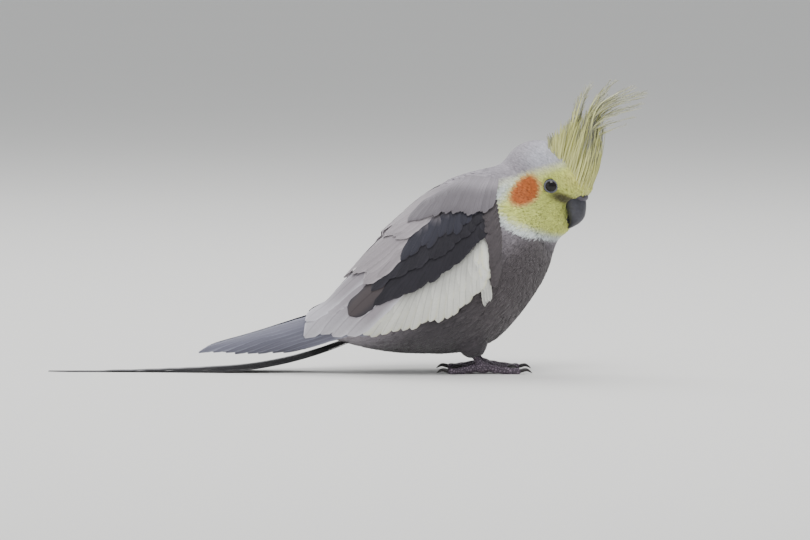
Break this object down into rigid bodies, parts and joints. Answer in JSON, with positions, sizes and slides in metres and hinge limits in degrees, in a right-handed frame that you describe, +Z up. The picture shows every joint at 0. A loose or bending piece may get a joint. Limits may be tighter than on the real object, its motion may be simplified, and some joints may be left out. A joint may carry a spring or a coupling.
{
  "type": "cockatiel",
  "caption": "Life-size still cockatiel standing on level ground, crest raised, wings folded, head turned to its right, long tail along the floor.",
  "frame": {"origin": "on the ground, below the middle of the bird's whole length and width", "axes": "+X the way the body faces, from tail to breast, +Y the bird's left, +Z up"},
  "size_m": [0.2996, 0.0704, 0.143],
  "materials": {
    "body_plumage": "soft matt grey feathers",
    "head_plumage": "soft matt pale yellow feathers",
    "wing_plumage": "smooth grey and white flight feathers",
    "tail_plumage": "smooth dark grey tail feathers",
    "bill_horn": "slate grey horn",
    "cere_skin": "bare purple-grey skin",
    "eye_gloss": "glossy near-black eye",
    "leg_skin": "scaly purplish grey-brown skin",
    "claw_horn": "black horn"
  },
  "bodies": {
    "root": {"torso": "body_plumage", "neck": "body_plumage", "head": "head_plumage", "bill_upper": "bill_horn", "bill_lower": "bill_horn", "cere": "cere_skin", "eye_right": "eye_gloss", "eye_left": "eye_gloss", "tail": "tail_plumage", "wing_right": "wing_plumage", "thigh_right": "body_plumage", "foot_right": "leg_skin", "claw_front_outer_right": "claw_horn", "claw_front_inner_right": "claw_horn", "claw_back_outer_right": "claw_horn", "claw_back_inner_right": "claw_horn", "wing_left": "wing_plumage", "thigh_left": "body_plumage", "foot_left": "leg_skin", "claw_front_outer_left": "claw_horn", "claw_front_inner_left": "claw_horn", "claw_back_outer_left": "claw_horn", "claw_back_inner_left": "claw_horn"}
  },
  "joints": []
}
